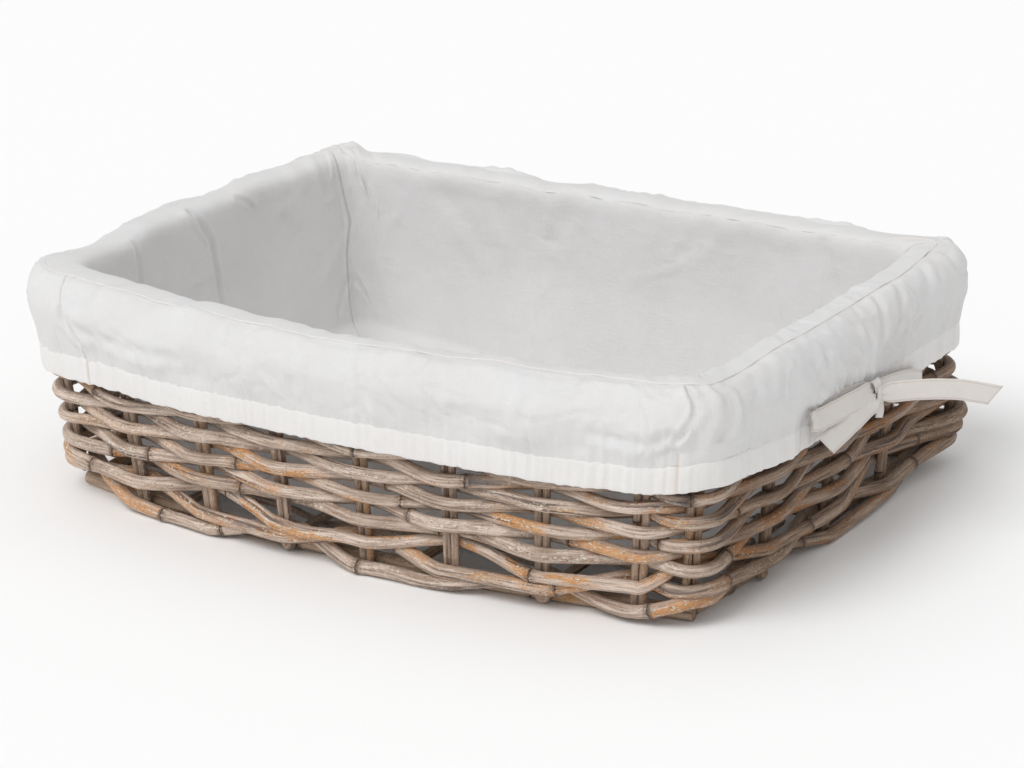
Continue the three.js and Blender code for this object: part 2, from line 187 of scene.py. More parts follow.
# ---------- Meshes ----------
def make_mesh(name, points, faces, uvs, material, attributes=(), body="basket"):
    """A smooth mesh from points in millimetres, with one UV per face corner, in metres."""
    mesh = bpy.data.meshes.new(name)
    mesh.from_pydata(((points + FRAME_SHIFT) * MM).tolist(), [], faces)
    mesh.uv_layers.new(name="surface").data.foreach_set("uv", np.asarray(uvs, np.float32).ravel())
    for attribute, values in dict(attributes).items():
        layer = mesh.attributes.new(attribute, "FLOAT", "POINT")
        layer.data.foreach_set("value", np.asarray(values, np.float32))
    mesh.polygons.foreach_set("use_smooth", np.ones(len(mesh.polygons), bool))
    mesh.materials.append(material)
    made = bpy.data.objects.new(name, mesh)
    bpy.context.scene.collection.objects.link(made)
    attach(made, body)
    return made


def frames_along(line, reference):
    """Unit tangents of a line, and two unit vectors square to them, from a reference direction."""
    tangent = np.gradient(line, axis=0)
    tangent /= np.linalg.norm(tangent, axis=1, keepdims=True)
    reference = np.broadcast_to(np.asarray(reference, float), line.shape)
    first = reference - (reference * tangent).sum(1, keepdims=True) * tangent
    first /= np.linalg.norm(first, axis=1, keepdims=True)
    return tangent, first, np.cross(tangent, first)


def length_along(line):
    steps = np.linalg.norm(np.diff(line, axis=0), axis=1)
    return np.concatenate([[0], np.cumsum(steps)])


def resample(line, spacing, *others):
    """The line at even steps, and any other values that go with its points."""
    length = length_along(line)
    count = max(int(length[-1] / spacing), 2)
    at = np.linspace(0, length[-1], count + 1)
    columns = [np.interp(at, length, line[:, i]) for i in range(3)]
    return np.stack(columns, -1), *(np.interp(at, length, other) for other in others)


def smooth_curve(points, samples):
    """A smooth curve through points, with this many samples from each to the next."""
    points = np.array(points, float)
    padded = np.concatenate([2 * points[:1] - points[1:2], points, 2 * points[-1:] - points[-2:-1]])
    t = np.linspace(0, 1, samples, endpoint=False)[:, None]
    pieces = []
    for number in range(len(points) - 1):
        before, start, end, after = padded[number:number + 4]
        bend = (2 * before - 5 * start + 4 * end - after) * t ** 2
        twist = (3 * start - before - 3 * end + after) * t ** 3
        pieces.append(0.5 * (2 * start + (end - before) * t + bend + twist))
    return np.concatenate(pieces + [points[-1:]])


def smooth_line(points, spacing=1.5):
    """Even steps along a smooth curve through points in space."""
    return resample(smooth_curve(points, 24), spacing)[0]


def ring_points(line, radii, reference, sides):
    """Rings of points round a line; radii is one number, or one for each point."""
    angle = np.arange(sides) * TURN / sides
    _, first, second = frames_along(line, reference)
    ring = np.cos(angle)[None, :, None] * first[:, None] + np.sin(angle)[None, :, None] * second[:, None]
    return line[:, None] + radii * ring


def tube_faces(rings, sides, along, around):
    """The quads between neighbouring rings of a tube, and their UVs from distances along and around it."""
    i, k = np.meshgrid(np.arange(rings - 1), np.arange(sides), indexing="ij")
    here = i * sides + k
    beside = i * sides + (k + 1) % sides
    quads = np.stack([here, here + sides, beside + sides, beside], -1).reshape(-1, 4)
    corners = [(along[i], around[k]), (along[i + 1], around[k]),
               (along[i + 1], around[k + 1]), (along[i], around[k + 1])]
    return quads, np.stack([np.stack(c, -1) for c in corners], 2).reshape(-1, 2)


def end_faces(rings, sides):
    """The two faces that close a tube."""
    count = rings * sides
    return [list(range(sides)), list(range(count - 1, count - sides - 1, -1))]


class Bundle:
    """Lengths of cane that go into one mesh."""

    JOINT_HALF = 3.6  # half the length of the swollen ring at a joint
    WAVES = (14, 23, 41)  # a cane's thickness wanders over these lengths
    TIP = 45  # length over which its ends taper
    NO_JOINT = 400.0  # distance that stands for no joint near
    # The skin darkens towards the basket's right end: partly painted shade, as that end gets less light, and
    # partly browner weathering.
    WEATHER_AND_SHADE_END = (240, 70)  # the skin darkens from here along the basket, over this length
    WEATHER_AND_SHADE_FRONT = (-235, 90)  # and from here across it

    def __init__(self, seed):
        self.rng = np.random.default_rng(seed)
        self.points, self.faces, self.uvs = [], [], []
        self.tones, self.gaps = [], []
        self.count = 0

    def add_cane(self, line, radius, reference=(0, 0, 1), sides=10, spacing=3.0, taper=0.0,
                 floor=None, joint_spacing=(130, 330), roughness=1.0, joint_size=0.17):
        """One length of cane along a line: uneven, oval in places, with a swollen ring at each joint."""
        rng = self.rng
        line, = resample(np.asarray(line, float), spacing)
        length = length_along(line)
        total = length[-1]
        joints = []
        at = rng.uniform(0, joint_spacing[1])
        while at < total:
            joints.append(at)
            at += rng.uniform(*joint_spacing)
        gap = np.full(len(line), self.NO_JOINT)  # distance past the nearest joint
        for joint in joints:
            nearer = np.abs(length - joint) < np.abs(gap)
            gap = np.where(nearer, length - joint, gap)
        hollow = 0.3 * np.exp(-(((gap - 9) / 6.0) ** 2))
        swelling = joint_size * (np.exp(-((gap / self.JOINT_HALF) ** 2)) - hollow)
        slow = sum(np.sin(length / wave + rng.uniform(0, TURN)) for wave in self.WAVES) / len(self.WAVES)
        ends = np.minimum(length, total - length)
        tip = 1 - taper * (1 - smooth_step(ends / self.TIP))
        rod = radius * (1 + swelling + 0.05 * roughness * slow) * tip
        angle = np.arange(sides) * TURN / sides
        oval = 0.05 * roughness * np.cos(2 * angle[None] + (length / 60 + rng.uniform(0, TURN))[:, None])
        knobs = 0.022 * roughness * np.cos(3 * angle[None] + (length / 19 + rng.uniform(0, TURN))[:, None])
        radii = rod[:, None] * (1 + oval + knobs)
        points = ring_points(line, radii[..., None], reference, sides)
        if floor is not None:
            points[..., 2] = np.maximum(points[..., 2], floor)
        tones = rng.uniform(size=len(joints) + 1)[np.searchsorted(joints, length)]
        self._add_tube(points, length, radius, gap, tones)

    def _add_tube(self, points, length, radius, gap, tones):
        steps, sides = points.shape[:2]
        offset = self.rng.uniform(0, 40)  # so that no two canes share their grain
        around = np.arange(sides + 1) * TURN * radius / sides * MM
        quads, uvs = tube_faces(steps, sides, length * MM + offset, around)
        self.points.append(points.reshape(-1, 3))
        self.faces += (quads + self.count).tolist()
        self.uvs.append(uvs)
        for ring, order in ((0, 1), (steps - 1, -1)):
            face = (self.count + ring * sides + np.arange(sides))[::order]
            self.faces.append(face.tolist())
            angle = (np.arange(sides) * TURN / sides)[::order]
            cap = np.stack([np.cos(angle), np.sin(angle)], -1) * radius * MM
            self.uvs.append(cap + offset)
        self.tones.append(np.repeat(tones, sides))
        self.gaps.append(np.repeat(gap, sides))
        self.count += steps * sides

    def make(self, name, material):
        """The mesh of all the canes; the right end's skin is darker: painted shade, where less light falls,
        and browner weathering.
        """
        points = np.concatenate(self.points)
        # Painted shade with weathering: darker towards the right end, except near the front.
        darker = [
            smooth_step((points[:, axis] - start) / reach)
            for axis, (start, reach) in enumerate((self.WEATHER_AND_SHADE_END, self.WEATHER_AND_SHADE_FRONT))
        ]
        attributes = {
            "tone": np.concatenate(self.tones),
            "joint_gap": np.concatenate(self.gaps),
            "shade": darker[0] * darker[1],
        }
        made = make_mesh(name, points, self.faces, np.concatenate(self.uvs), material, attributes)
        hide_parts(name)


# ---------- Materials ----------
class Shader:
    """A Principled material with short calls for its nodes."""

    def __init__(self, name, color, roughness, **inputs):
        self.material = bpy.data.materials.new(name)
        self.material.use_nodes = True
        self.tree = self.material.node_tree
        self.surface = self.tree.nodes["Principled BSDF"]
        self.surface.inputs["Base Color"].default_value = (*color, 1)
        self.surface.inputs["Roughness"].default_value = roughness
        for key, value in inputs.items():
            self.surface.inputs[key.replace("_", " ")].default_value = value
        self.uv = self.node("ShaderNodeUVMap", uv_map="surface").outputs[0]

    def node(self, kind, links=None, **settings):
        made = self.tree.nodes.new(kind)
        for key, value in settings.items():
            setattr(made, key, value)
        for key, value in (links or {}).items():
            if isinstance(value, bpy.types.NodeSocket):
                self.tree.links.new(value, made.inputs[key])
            else:
                made.inputs[key].default_value = value
        return made

    def attribute(self, name):
        return self.node("ShaderNodeAttribute", attribute_name=name).outputs["Fac"]

    def math(self, operation, first, second=0.0):
        return self.node("ShaderNodeMath", {0: first, 1: second}, operation=operation).outputs[0]

    def times(self, first, second):
        return self.math("MULTIPLY", first, second)

    def stretched(self, along, across, depth=None):
        """Surface coordinates, scaled along and across, with a third from a value."""
        parts = self.node("ShaderNodeSeparateXYZ", {0: self.uv})
        links = {0: self.times(parts.outputs[0], along), 1: self.times(parts.outputs[1], across)}
        if depth is not None:
            links[2] = depth
        return self.node("ShaderNodeCombineXYZ", links).outputs[0]

    def noise(self, vector, detail=2.0, roughness=0.5, scale=1.0):
        links = {"Vector": vector, "Scale": scale, "Detail": detail, "Roughness": roughness}
        return self.node("ShaderNodeTexNoise", links).outputs["Fac"]

    def between(self, value, low, high):
        """0 below low, 1 above high, smooth between them."""
        made = self.node("ShaderNodeMapRange", {"Value": value, "From Min": low, "From Max": high},
                         interpolation_type="SMOOTHSTEP")
        return made.outputs["Result"]

    def mix(self, share, first, second, blend="MIX"):
        made = self.node("ShaderNodeMix", data_type="RGBA", blend_type=blend)
        for socket, value in ((made.inputs[0], share), (made.inputs[6], first), (made.inputs[7], second)):
            if isinstance(value, bpy.types.NodeSocket):
                self.tree.links.new(value, socket)
            elif socket == made.inputs[0]:
                socket.default_value = value
            else:
                socket.default_value = (*value, 1)
        return made.outputs[2]

    def set_color(self, socket):
        self.tree.links.new(socket, self.surface.inputs["Base Color"])

    def set_roughness(self, socket):
        self.tree.links.new(socket, self.surface.inputs["Roughness"])

    def let_light_through(self, color, share):
        """Thin cloth: part of the light that falls on one side comes out of the other."""
        through = self.node("ShaderNodeBsdfTranslucent", {"Color": (*color, 1)})
        both = self.node("ShaderNodeMixShader", {0: share, 1: self.surface.outputs[0], 2: through.outputs[0]})
        self.tree.links.new(both.outputs[0], self.tree.nodes["Material Output"].inputs["Surface"])

    def bump(self, height, distance, strength=1.0):
        """Adds raised detail, distance metres high, on top of any that is already there."""
        links = {"Height": height, "Distance": distance, "Strength": strength}
        before = self.surface.inputs["Normal"].links
        if before:
            links["Normal"] = before[0].from_socket
        made = self.node("ShaderNodeBump", links)
        self.tree.links.new(made.outputs[0], self.surface.inputs["Normal"])


# Colours painted over the skin of the canes, and those that darken it.
BLACKENED = (0.11, 0.10, 0.105)
SCAR = (0.16, 0.10, 0.065)
TORN_BARK = (0.05, 0.036, 0.028)
PATCH_DULL = (0.74, 0.70, 0.66)
STRIPE_DULL = (0.36, 0.33, 0.33)
SPECK_DULL = (0.34, 0.27, 0.22)
CRACK_DULL = (0.42, 0.35, 0.30)
# Multiplied into the skin at the basket's right end: painted shade, partly browner weathering.
WEATHER_AND_SHADE_DULL = (0.50, 0.44, 0.38)


def rattan(name, dull, pale, warm, warm_share, dark_share):
    """Weathered rattan: grey-brown skin with pale streaks, warm flaking patches, cracks and dark joints;
    painted shade and weathering darken the basket's right end.
    """
    shader = Shader(name, dull, 0.55, Specular_IOR_Level=0.35)
    tone = shader.attribute("tone")
    depth = shader.times(tone, 61.0)
    further = shader.math("ADD", depth, 17.0)
    streaks = shader.noise(shader.stretched(30, 480, depth), detail=5.0, roughness=0.65)
    fibres = shader.noise(shader.stretched(70, 2200, depth), detail=3.0, roughness=0.7)
    flakes = shader.noise(shader.stretched(260, 620, further), detail=4.0, roughness=0.7)
    clouds = shader.noise(shader.stretched(18, 70, depth), detail=4.0, roughness=0.6)
    stretches = shader.noise(shader.stretched(5, 24, further), detail=3.0)
    patches = shader.noise(shader.stretched(1.5, 8, depth))
    stripes = shader.noise(shader.stretched(7, 210, further), detail=3.0, roughness=0.6)
    specks = shader.noise(shader.stretched(520, 900, further), detail=2.0, roughness=0.6)
    between, times = shader.between, shader.times
    color = shader.mix(between(streaks, 0.36, 0.64), dull, pale)
    color = shader.mix(between(patches, 0.35, 0.7), color, PATCH_DULL, "MULTIPLY")
    warmth = times(between(clouds, 0.46, 0.60), between(tone, 1 - warm_share, 1.0))
    warm_skin = shader.mix(between(flakes, 0.44, 0.58), warm, tuple(0.55 * c for c in warm))
    color = shader.mix(times(warmth, between(flakes, 0.30, 0.42)), color, warm_skin)
    color = shader.mix(between(stretches, 1 - dark_share, 1.08 - dark_share), color, BLACKENED)
    color = shader.mix(between(stripes, 0.56, 0.66), color, STRIPE_DULL, "MULTIPLY")
    peeling = times(between(flakes, 0.54, 0.60), between(clouds, 0.42, 0.56))
    color = shader.mix(times(peeling, 0.8), color, tuple(min(1.1 * c, 0.82) for c in pale))
    color = shader.mix(between(specks, 0.62, 0.70), color, SPECK_DULL, "MULTIPLY")
    color = shader.mix(between(fibres, 0.60, 0.70), color, CRACK_DULL, "MULTIPLY")
    # Painted shade, partly browner weathering, darkens the canes towards the basket's right end.
    color = shader.mix(shader.attribute("shade"), color, WEATHER_AND_SHADE_DULL, "MULTIPLY")
    gap = shader.math("ABSOLUTE", shader.attribute("joint_gap"))
    scar = shader.math("SUBTRACT", 1.0, between(gap, 1.0, 7.0))
    color = shader.mix(times(scar, between(flakes, 0.40, 0.60)), color, SCAR)
    ring = shader.math("SUBTRACT", 1.0, between(gap, 0.3, 1.0))
    torn = times(ring, between(flakes, 0.32, 0.52))
    color = shader.mix(times(torn, 0.9), color, TORN_BARK)
    shader.set_color(color)
    shine = {"Value": clouds, "To Min": 0.40, "To Max": 0.75}
    shader.set_roughness(shader.node("ShaderNodeMapRange", shine).outputs[0])
    shader.bump(streaks, 0.0011, 0.8)
    shader.bump(fibres, 0.0006, 0.9)
    shader.bump(flakes, 0.0006, 0.9)
    shader.bump(ring, -0.0009, 0.8)
    return shader.material


def cotton(name, color, seam_color, slub=1.0):
    """Plain-woven cotton with slubs, faint mottling and darker seam lines."""
    shader = Shader(name, color, 0.9, Specular_IOR_Level=0.2, Sheen_Weight=0.15, Sheen_Roughness=0.5)
    warp = shader.noise(shader.stretched(1500, 45), detail=2.0, roughness=0.6)
    weft = shader.noise(shader.stretched(45, 1500), detail=2.0, roughness=0.6)
    clouds = shader.noise(shader.stretched(14, 14), detail=3.0)
    threads = shader.math("ADD", shader.between(warp, 0.35, 0.75), shader.between(weft, 0.35, 0.75))
    shade = shader.mix(shader.times(threads, 0.5), tuple(0.955 * c for c in color), color)
    shade = shader.mix(shader.between(clouds, 0.3, 0.75), shade, (0.965, 0.96, 0.95), "MULTIPLY")
    shade = shader.mix(shader.attribute("seam"), shade, seam_color)
    shader.set_color(shade)
    shader.bump(threads, 0.00016 * slub, 0.7)
    from_middle = shader.math("SUBTRACT", shader.noise(shader.stretched(26, 34), detail=2.0), 0.5)
    creases = shader.math("ABSOLUTE", from_middle)
    shader.bump(shader.between(creases, 0.0, 0.12), 0.00022, 0.7)
    shader.bump(shader.noise(shader.stretched(60, 80), detail=3.0), 0.00045, 0.7)
    shader.let_light_through(color, 0.13)
    return shader.material


# Name, dull and pale skin, warm bark, share of the canes with warm bark, and share that is blackened.
WEAVER = rattan("weaving_cane", (0.44, 0.325, 0.25), (0.84, 0.70, 0.60), (0.74, 0.36, 0.135), 0.7, 0.36)
STAKE = rattan("stake_cane", (0.42, 0.31, 0.23), (0.66, 0.52, 0.42), (0.56, 0.32, 0.15), 0.3, 0.30)
FRAME_CANE = rattan("frame_cane", (0.42, 0.30, 0.21), (0.66, 0.50, 0.38), (0.56, 0.31, 0.13), 0.5, 0.30)
LINER = cotton("liner_cotton", (0.875, 0.87, 0.87), (0.72, 0.65, 0.60))
CASING = cotton("casing_cotton", (0.94, 0.925, 0.91), (0.74, 0.66, 0.60))
PIPING = cotton("piping_cotton", (0.92, 0.90, 0.88), (0.74, 0.66, 0.60))
TAPE = cotton("tape_cotton", (0.87, 0.835, 0.795), (0.64, 0.53, 0.46), slub=1.6)


# ---------- Wicker ----------
def stiff_step(share):
    """From 0 to 1 in a nearly straight line, as a stiff cane runs from one stake to the next."""
    return 0.35 * smooth_step(share) + 0.65 * np.clip((share - 0.08) / 0.84, 0, 1)


def woven_line(first, last, value_at, height_at, half_gap):
    """The middle line of a strand from one stake number to another.
    value_at is 1 where it passes outside a stake pair and -1 where it passes inside."""
    stake = np.arange(first, last, 0.04)
    before = np.floor(stake).astype(int)
    share = stiff_step(stake - before)
    side = np.array([value_at(n) for n in before]) * (1 - share)
    side += np.array([value_at(n + 1) for n in before]) * share
    height = np.array([height_at(n) for n in before]) * (1 - share)
    height += np.array([height_at(n + 1) for n in before]) * share
    return stake, side * half_gap, height


def cut_lengths(rng, intervals):
    """Where the canes of one ring start and end, with the ends of neighbours side by side."""
    starts = [rng.uniform(0, STAKE_COUNT)]
    while starts[-1] - starts[0] < STAKE_COUNT - intervals[0]:
        starts.append(starts[-1] + rng.uniform(*intervals))
    starts = [round(s) + 0.35 for s in starts if s - starts[0] < STAKE_COUNT - 3]
    ends = starts[1:] + [starts[0] + STAKE_COUNT]
    return [(start - 0.75, end + 0.55) for start, end in zip(starts, ends)]


def add_ring(name, seed, radius, value_at, height_at, half_gap, wander, intervals=(7, 12)):
    """One ring of the weave. Its canes start and end side by side, tucked in behind each other."""
    bundle = Bundle(seed)
    rng = np.random.default_rng(seed + 500)
    sideways = Ripple(seed + 1, (6, 26))
    upright = Ripple(seed + 2, (6, 30))
    for index, (start, end) in enumerate(cut_lengths(rng, intervals)):
        stake, out, height = woven_line(start, end, value_at, height_at, half_gap)
        ends = np.minimum(stake - start, end - stake)
        tuck = (1 - smooth_step(ends / 0.6)) * 2.2
        height = height + wander * upright(stake) + tuck * (1 if index % 2 else -1)
        line = beside_wall(stake, height, out + 0.5 * wander * sideways(stake) - tuck)
        bundle.add_cane(line, radius * rng.uniform(0.94, 1.08), taper=0.35, sides=12, floor=0.6)
    bundle.make(name, WEAVER)


def add_rows():
    """Rows of plain weave, over one stake pair and behind the next."""
    for row in range(ROW_COUNT):
        add_ring(
            f"weave_row_{row + 1:02d}", 100 + row, 4.9,
            value_at=lambda stake, row=row: 1 if (stake + row) % 2 == 0 else -1,
            height_at=lambda stake, row=row: FIRST_ROW_HEIGHT + row * ROW_PITCH,
            half_gap=8.4, wander=1.1,
        )


WALE_RISES = {0: 11, 7: 3, 8: 13, 9: 5, 12: 8, 20: 8}  # how far it is lifted where it rounds a corner
WALE_INSIDE_HEIGHT, WALE_OUTSIDE_HEIGHT = 17.6, 6.8


def add_wale():
    """Three strands round the foot, each outside two pairs and inside the third."""
    for strand in range(3):
        def value_at(stake, strand=strand):
            return -1 if (stake - strand) % 3 == 0 else 1

        def height_at(stake, strand=strand):
            foot = WALE_INSIDE_HEIGHT if value_at(stake) < 0 else WALE_OUTSIDE_HEIGHT
            rise = WALE_RISES.get(stake % STAKE_COUNT, 0)
            return foot + rise + strand * (10 if rise < 8 else 9)

        add_ring(f"wale_strand_{strand + 1}", 130 + strand, 5.2, value_at, height_at, 8.7, 1.0, (6, 10))


def add_stakes():
    """Each stake pair is one rod, bent double at its foot."""
    angle = np.linspace(math.pi, TURN, 9)
    leg = np.full(20, STAKE_OFFSET)
    shifts = np.concatenate([-leg, STAKE_OFFSET * np.cos(angle), leg])
    for stake in range(STAKE_COUNT):
        foot = 13.2 if stake in CORNERS else 0.9
        bend = foot + STAKE_RADIUS + STAKE_OFFSET
        down = np.linspace(STAKE_TOP, bend + 4, len(leg))
        up = np.linspace(bend + 4, STAKE_TOP, len(leg))
        heights = np.concatenate([down, bend + STAKE_OFFSET * np.sin(angle), up])
        line = beside_wall(np.full(len(heights), float(stake)), heights, np.zeros(len(heights)), shifts)
        _, outward = wall_directions(stake, 90)
        bundle = Bundle(200 + stake)
        bundle.add_cane(line, STAKE_RADIUS + 0.15, reference=outward, spacing=2.0, roughness=0.7)
        bundle.make(f"stake_pair_{stake + 1:02d}", STAKE)


def add_frame_cane(name, seed, x, y, height, radius, **shape):
    """One cane of the base, at one height."""
    bundle = Bundle(seed)
    bundle.add_cane(np.stack(np.broadcast_arrays(x, y, height), -1), radius, **shape)
    bundle.make(name, FRAME_CANE)


def add_rail(name, seed, x, y):
    add_frame_cane(name, seed, x, y, RAIL_HEIGHT, RAIL_RADIUS - 0.2, sides=14, floor=0.0)


def add_base():
    """Two long and two short rails, and the cross rods between the long ones."""
    x = np.linspace(-BASE_HALF_LENGTH, BASE_HALF_LENGTH, 60)
    for name, sign, bow in (("base_rail_front", -1, FRONT_BOW), ("base_rail_back", 1, BACK_BOW)):
        out = BASE_HALF_WIDTH - RAIL_RADIUS + bow * (1 - (x / BASE_HALF_LENGTH) ** 2)
        add_rail(name, 300 + sign, x, BASE_SETBACK + sign * out)
    reach = BASE_HALF_WIDTH - 2 * RAIL_RADIUS - 1
    y = BASE_SETBACK + np.linspace(-reach, reach, 40)
    for name, sign, bow in (("base_rail_left", -1, LEFT_BOW), ("base_rail_right", 1, RIGHT_BOW)):
        out = BASE_HALF_LENGTH - RAIL_RADIUS + bow * (1 - ((y - BASE_SETBACK) / BASE_HALF_WIDTH) ** 2)
        add_rail(name, 310 + sign, sign * out, y)
    for index, rod_x in enumerate(CROSS_ROD_POSITIONS):
        bow = 1 - (rod_x / BASE_HALF_LENGTH) ** 2
        front = BASE_SETBACK - (BASE_HALF_WIDTH - RAIL_RADIUS + FRONT_BOW * bow) + RAIL_RADIUS + 0.3
        back = BASE_SETBACK + (BASE_HALF_WIDTH - RAIL_RADIUS + BACK_BOW * bow) - RAIL_RADIUS - 0.3
        y = np.linspace(front, back, 30)
        name = f"base_cross_rod_{index + 1}"
        add_frame_cane(name, 320 + index, rod_x, y, CROSS_ROD_HEIGHT, CROSS_ROD_RADIUS)


def add_floor_weave():
    """One strand to and fro across the cross rods, over one and under the next."""
    points = []
    x = np.linspace(-FLOOR_HALF_LENGTH, FLOOR_HALF_LENGTH, 90)
    for number in range(FLOOR_PASSES):
        y = FLOOR_FRONT + (FLOOR_BACK - FLOOR_FRONT) * number / (FLOOR_PASSES - 1)
        sign = 1 if number % 2 == 0 else -1
        height = np.full(len(x), CROSS_ROD_HEIGHT, float)
        for index, rod_x in enumerate(CROSS_ROD_POSITIONS):
            over = 1 if (index + number) % 2 == 0 else -1
            height += over * 7.2 * np.exp(-(((x - rod_x) / 27) ** 2))
        line = np.stack([x, np.full(len(x), y), height], -1)[::sign]
        points.append(line)
    bundle = Bundle(330)
    bundle.add_cane(np.concatenate(points), 2.9, sides=8, spacing=4, floor=0.8)
    bundle.make("floor_weave", WEAVER)


# Distance out, height, radius, and how much of the rim's sway each hoop takes.
RIM_HOOPS = {
    "rim_hoop_outer": (9.6, 164.3, 6.6, 0.55),
    "rim_hoop_inner": (-9.6, 164.3, 6.6, 0.87),
    "rim_top_outer": (-0.3, 181, 7.4, 1.0),
    "rim_top_inner": (-15.9, 180.5, 7.4, 1.0),
}


def rim_sag(stake):
    """How far the rim dips in the middle of each side."""
    side, fraction = side_position(stake)
    return np.choose(side, [4.0, 0.5, 6.0, 2.0]) * np.maximum(0, 1 - (2 * fraction - 1) ** 2)


def add_rim():
    """A hoop outside the stakes' tops, one inside them and two on top."""
    for index, (name, (out, height, radius, share)) in enumerate(RIM_HOOPS.items()):
        bundle = Bundle(340 + index)
        stake = np.linspace(0.4, STAKE_COUNT + 0.45, 900) + 5 * index
        sway, rise = rim_offsets(stake)
        line = beside_wall(stake, height + share * rise, out + share * sway)
        bundle.add_cane(line, radius, sides=14, taper=0.5, roughness=0.5, joint_size=0.04)
        bundle.make(name, FRAME_CANE)


# ---------- Liner ----------
TUB_PROFILE = [(-29, 42), (-26.8, 62), (-26.4, 110), (-26.4, 165), (-26.8, 178), (-25.6, 186.5),
               (-21, 190.8), (-12, 192), (-2.6, 191.4)]
SKIRT_PROFILE = [(-2.6, 191.4), (4, 190), (10.2, 184.5), (15.6, 176), (19, 166), (19.3, 158), (18.2, 145),
                 (16.3, 131), (15.4, 126), (14.8, 121)]


def along_profile(profile, spacing):
    """Even steps along a smooth curve through a profile's points, and their distances along it."""
    curve = smooth_curve(profile, 20)
    length = length_along(curve)
    at = np.linspace(0, length[-1], int(length[-1] / spacing) + 1)
    return np.stack([np.interp(at, length, curve[:, axis]) for axis in range(2)], -1), at


RING_FINE = np.linspace(0, STAKE_COUNT, 6001)
RING_LENGTH = length_along(wall_point(RING_FINE, 150))


def ring_length(stake):
    """Millimetres round the wall at each stake number."""
    return np.interp(stake, RING_FINE, RING_LENGTH)


def ring_stations(spacing, seams=(), fine=0.7, reach=6):
    """Stake numbers at even steps round the rim, closer together beside the seams."""
    total = RING_LENGTH[-1]
    at = np.linspace(0, total, int(total / spacing) + 1)[:-1]
    for seam in seams:
        ends = ring_length(np.array([min(seam)[0], max(seam)[0]])) + (-reach, reach)
        middle, half = ends.mean(), np.ptp(ends) / 2
        away = np.abs(np.mod(at - middle + total / 2, total) - total / 2)
        close = np.mod(middle + np.arange(-half, half + fine / 2, fine), total)
        at = np.concatenate([at[away > half], close])
    return np.interp(np.unique(at), RING_LENGTH, RING_FINE)


def grid_mesh(name, points, stake, lengths, material, seam, extra=None):
    """A sheet of the liner from rings of points, the first index running down it and the second round it."""
    rows, count = points.shape[:2]
    i, k = np.meshgrid(np.arange(rows - 1), np.arange(count), indexing="ij")
    here = i * count + k
    beside = i * count + (k + 1) % count
    faces = np.stack([here, beside, beside + count, here + count], -1).reshape(-1, 4).tolist()
    u = np.append(ring_length(stake), RING_LENGTH[-1]) * MM
    v = lengths * MM
    corners = [(u[k], v[i]), (u[k + 1], v[i]), (u[k + 1], v[i + 1]), (u[k], v[i + 1])]
    uvs = np.stack([np.stack(c, -1) for c in corners], 2).reshape(-1, 2)
    flat, seam = points.reshape(-1, 3), seam.reshape(-1)
    if extra:
        flat, faces, uvs, seam = extra(flat, faces, uvs, seam)
    made = make_mesh(name, flat, faces, uvs, material, {"seam": seam}, "liner")
    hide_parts(name)
    return made


RIM_SWAY = Ripple(11, (5, 22))
RIM_RISE = Ripple(12, (6, 30))


def rim_offsets(stake):
    """How far the cloth on the rim stands out and up from its even line, at each stake number."""
    return 1.2 * RIM_SWAY(stake), 1.2 * RIM_RISE(stake) - rim_sag(stake)


FOLD_SCALE = np.array([74, 1])  # millimetres for a stake number, and for a millimetre down the sheet


def crease(stake, drop, path, depth, width):
    """A fold line through (stake number, millimetres down the sheet) points: a groove with raised sides."""
    at = np.stack([stake, drop], -1) * FOLD_SCALE
    path = np.array(path) * FOLD_SCALE
    nearest = np.full(stake.shape, np.inf)
    for start, end in zip(path, path[1:]):
        step = end - start
        share = np.clip(((at - start) @ step) / (step @ step), 0, 1)
        nearest = np.minimum(nearest, np.linalg.norm(at - start - share[..., None] * step, axis=-1))
    r = nearest / width
    return depth * (0.75 * np.exp(-((r - 1.7) ** 2)) - np.exp(-(r ** 2)))


def sheet_points(stake, profile, offsets, weights, relief):
    """Points of a sheet: a profile swept round the wall, moved with the rim and pushed out by its relief."""
    tangent = np.gradient(profile, axis=0)
    tangent /= np.linalg.norm(tangent, axis=1, keepdims=True)
    normal = np.stack([-tangent[:, 1], tangent[:, 0]], -1)
    out = profile[:, :1] + weights[:, None] * offsets[0][None] + relief * normal[:, :1]
    height = profile[:, 1:] + weights[:, None] * offsets[1][None] + relief * normal[:, 1:]
    return beside_wall(np.broadcast_to(stake[None], out.shape), height, out)


def wrinkle_lines(stake, rise, seed, turns, rises, sharpness):
    """Thin wandering wrinkles, along the lines where a random field crosses zero, here and there."""
    lines = np.exp(-((Ripple(seed, turns, rises)(stake, rise) / sharpness) ** 2))
    places = smooth_step(0.35 + Ripple(seed + 1, (3, 16), (-1, 1))(stake, rise))
    return lines * places


UNEVEN_LENGTH = 80  # millimetres down a sheet for one turn of its folds' unevenness


def total_relief(stake, drop, creases, seed):
    """All the folds of a sheet, uneven along their length."""
    uneven = 0.75 + 0.45 * Ripple(seed, (20, 110), (-2.2, 2.2))(stake, drop / UNEVEN_LENGTH)
    return sum(crease(stake, drop, *fold) for fold in creases) * uneven


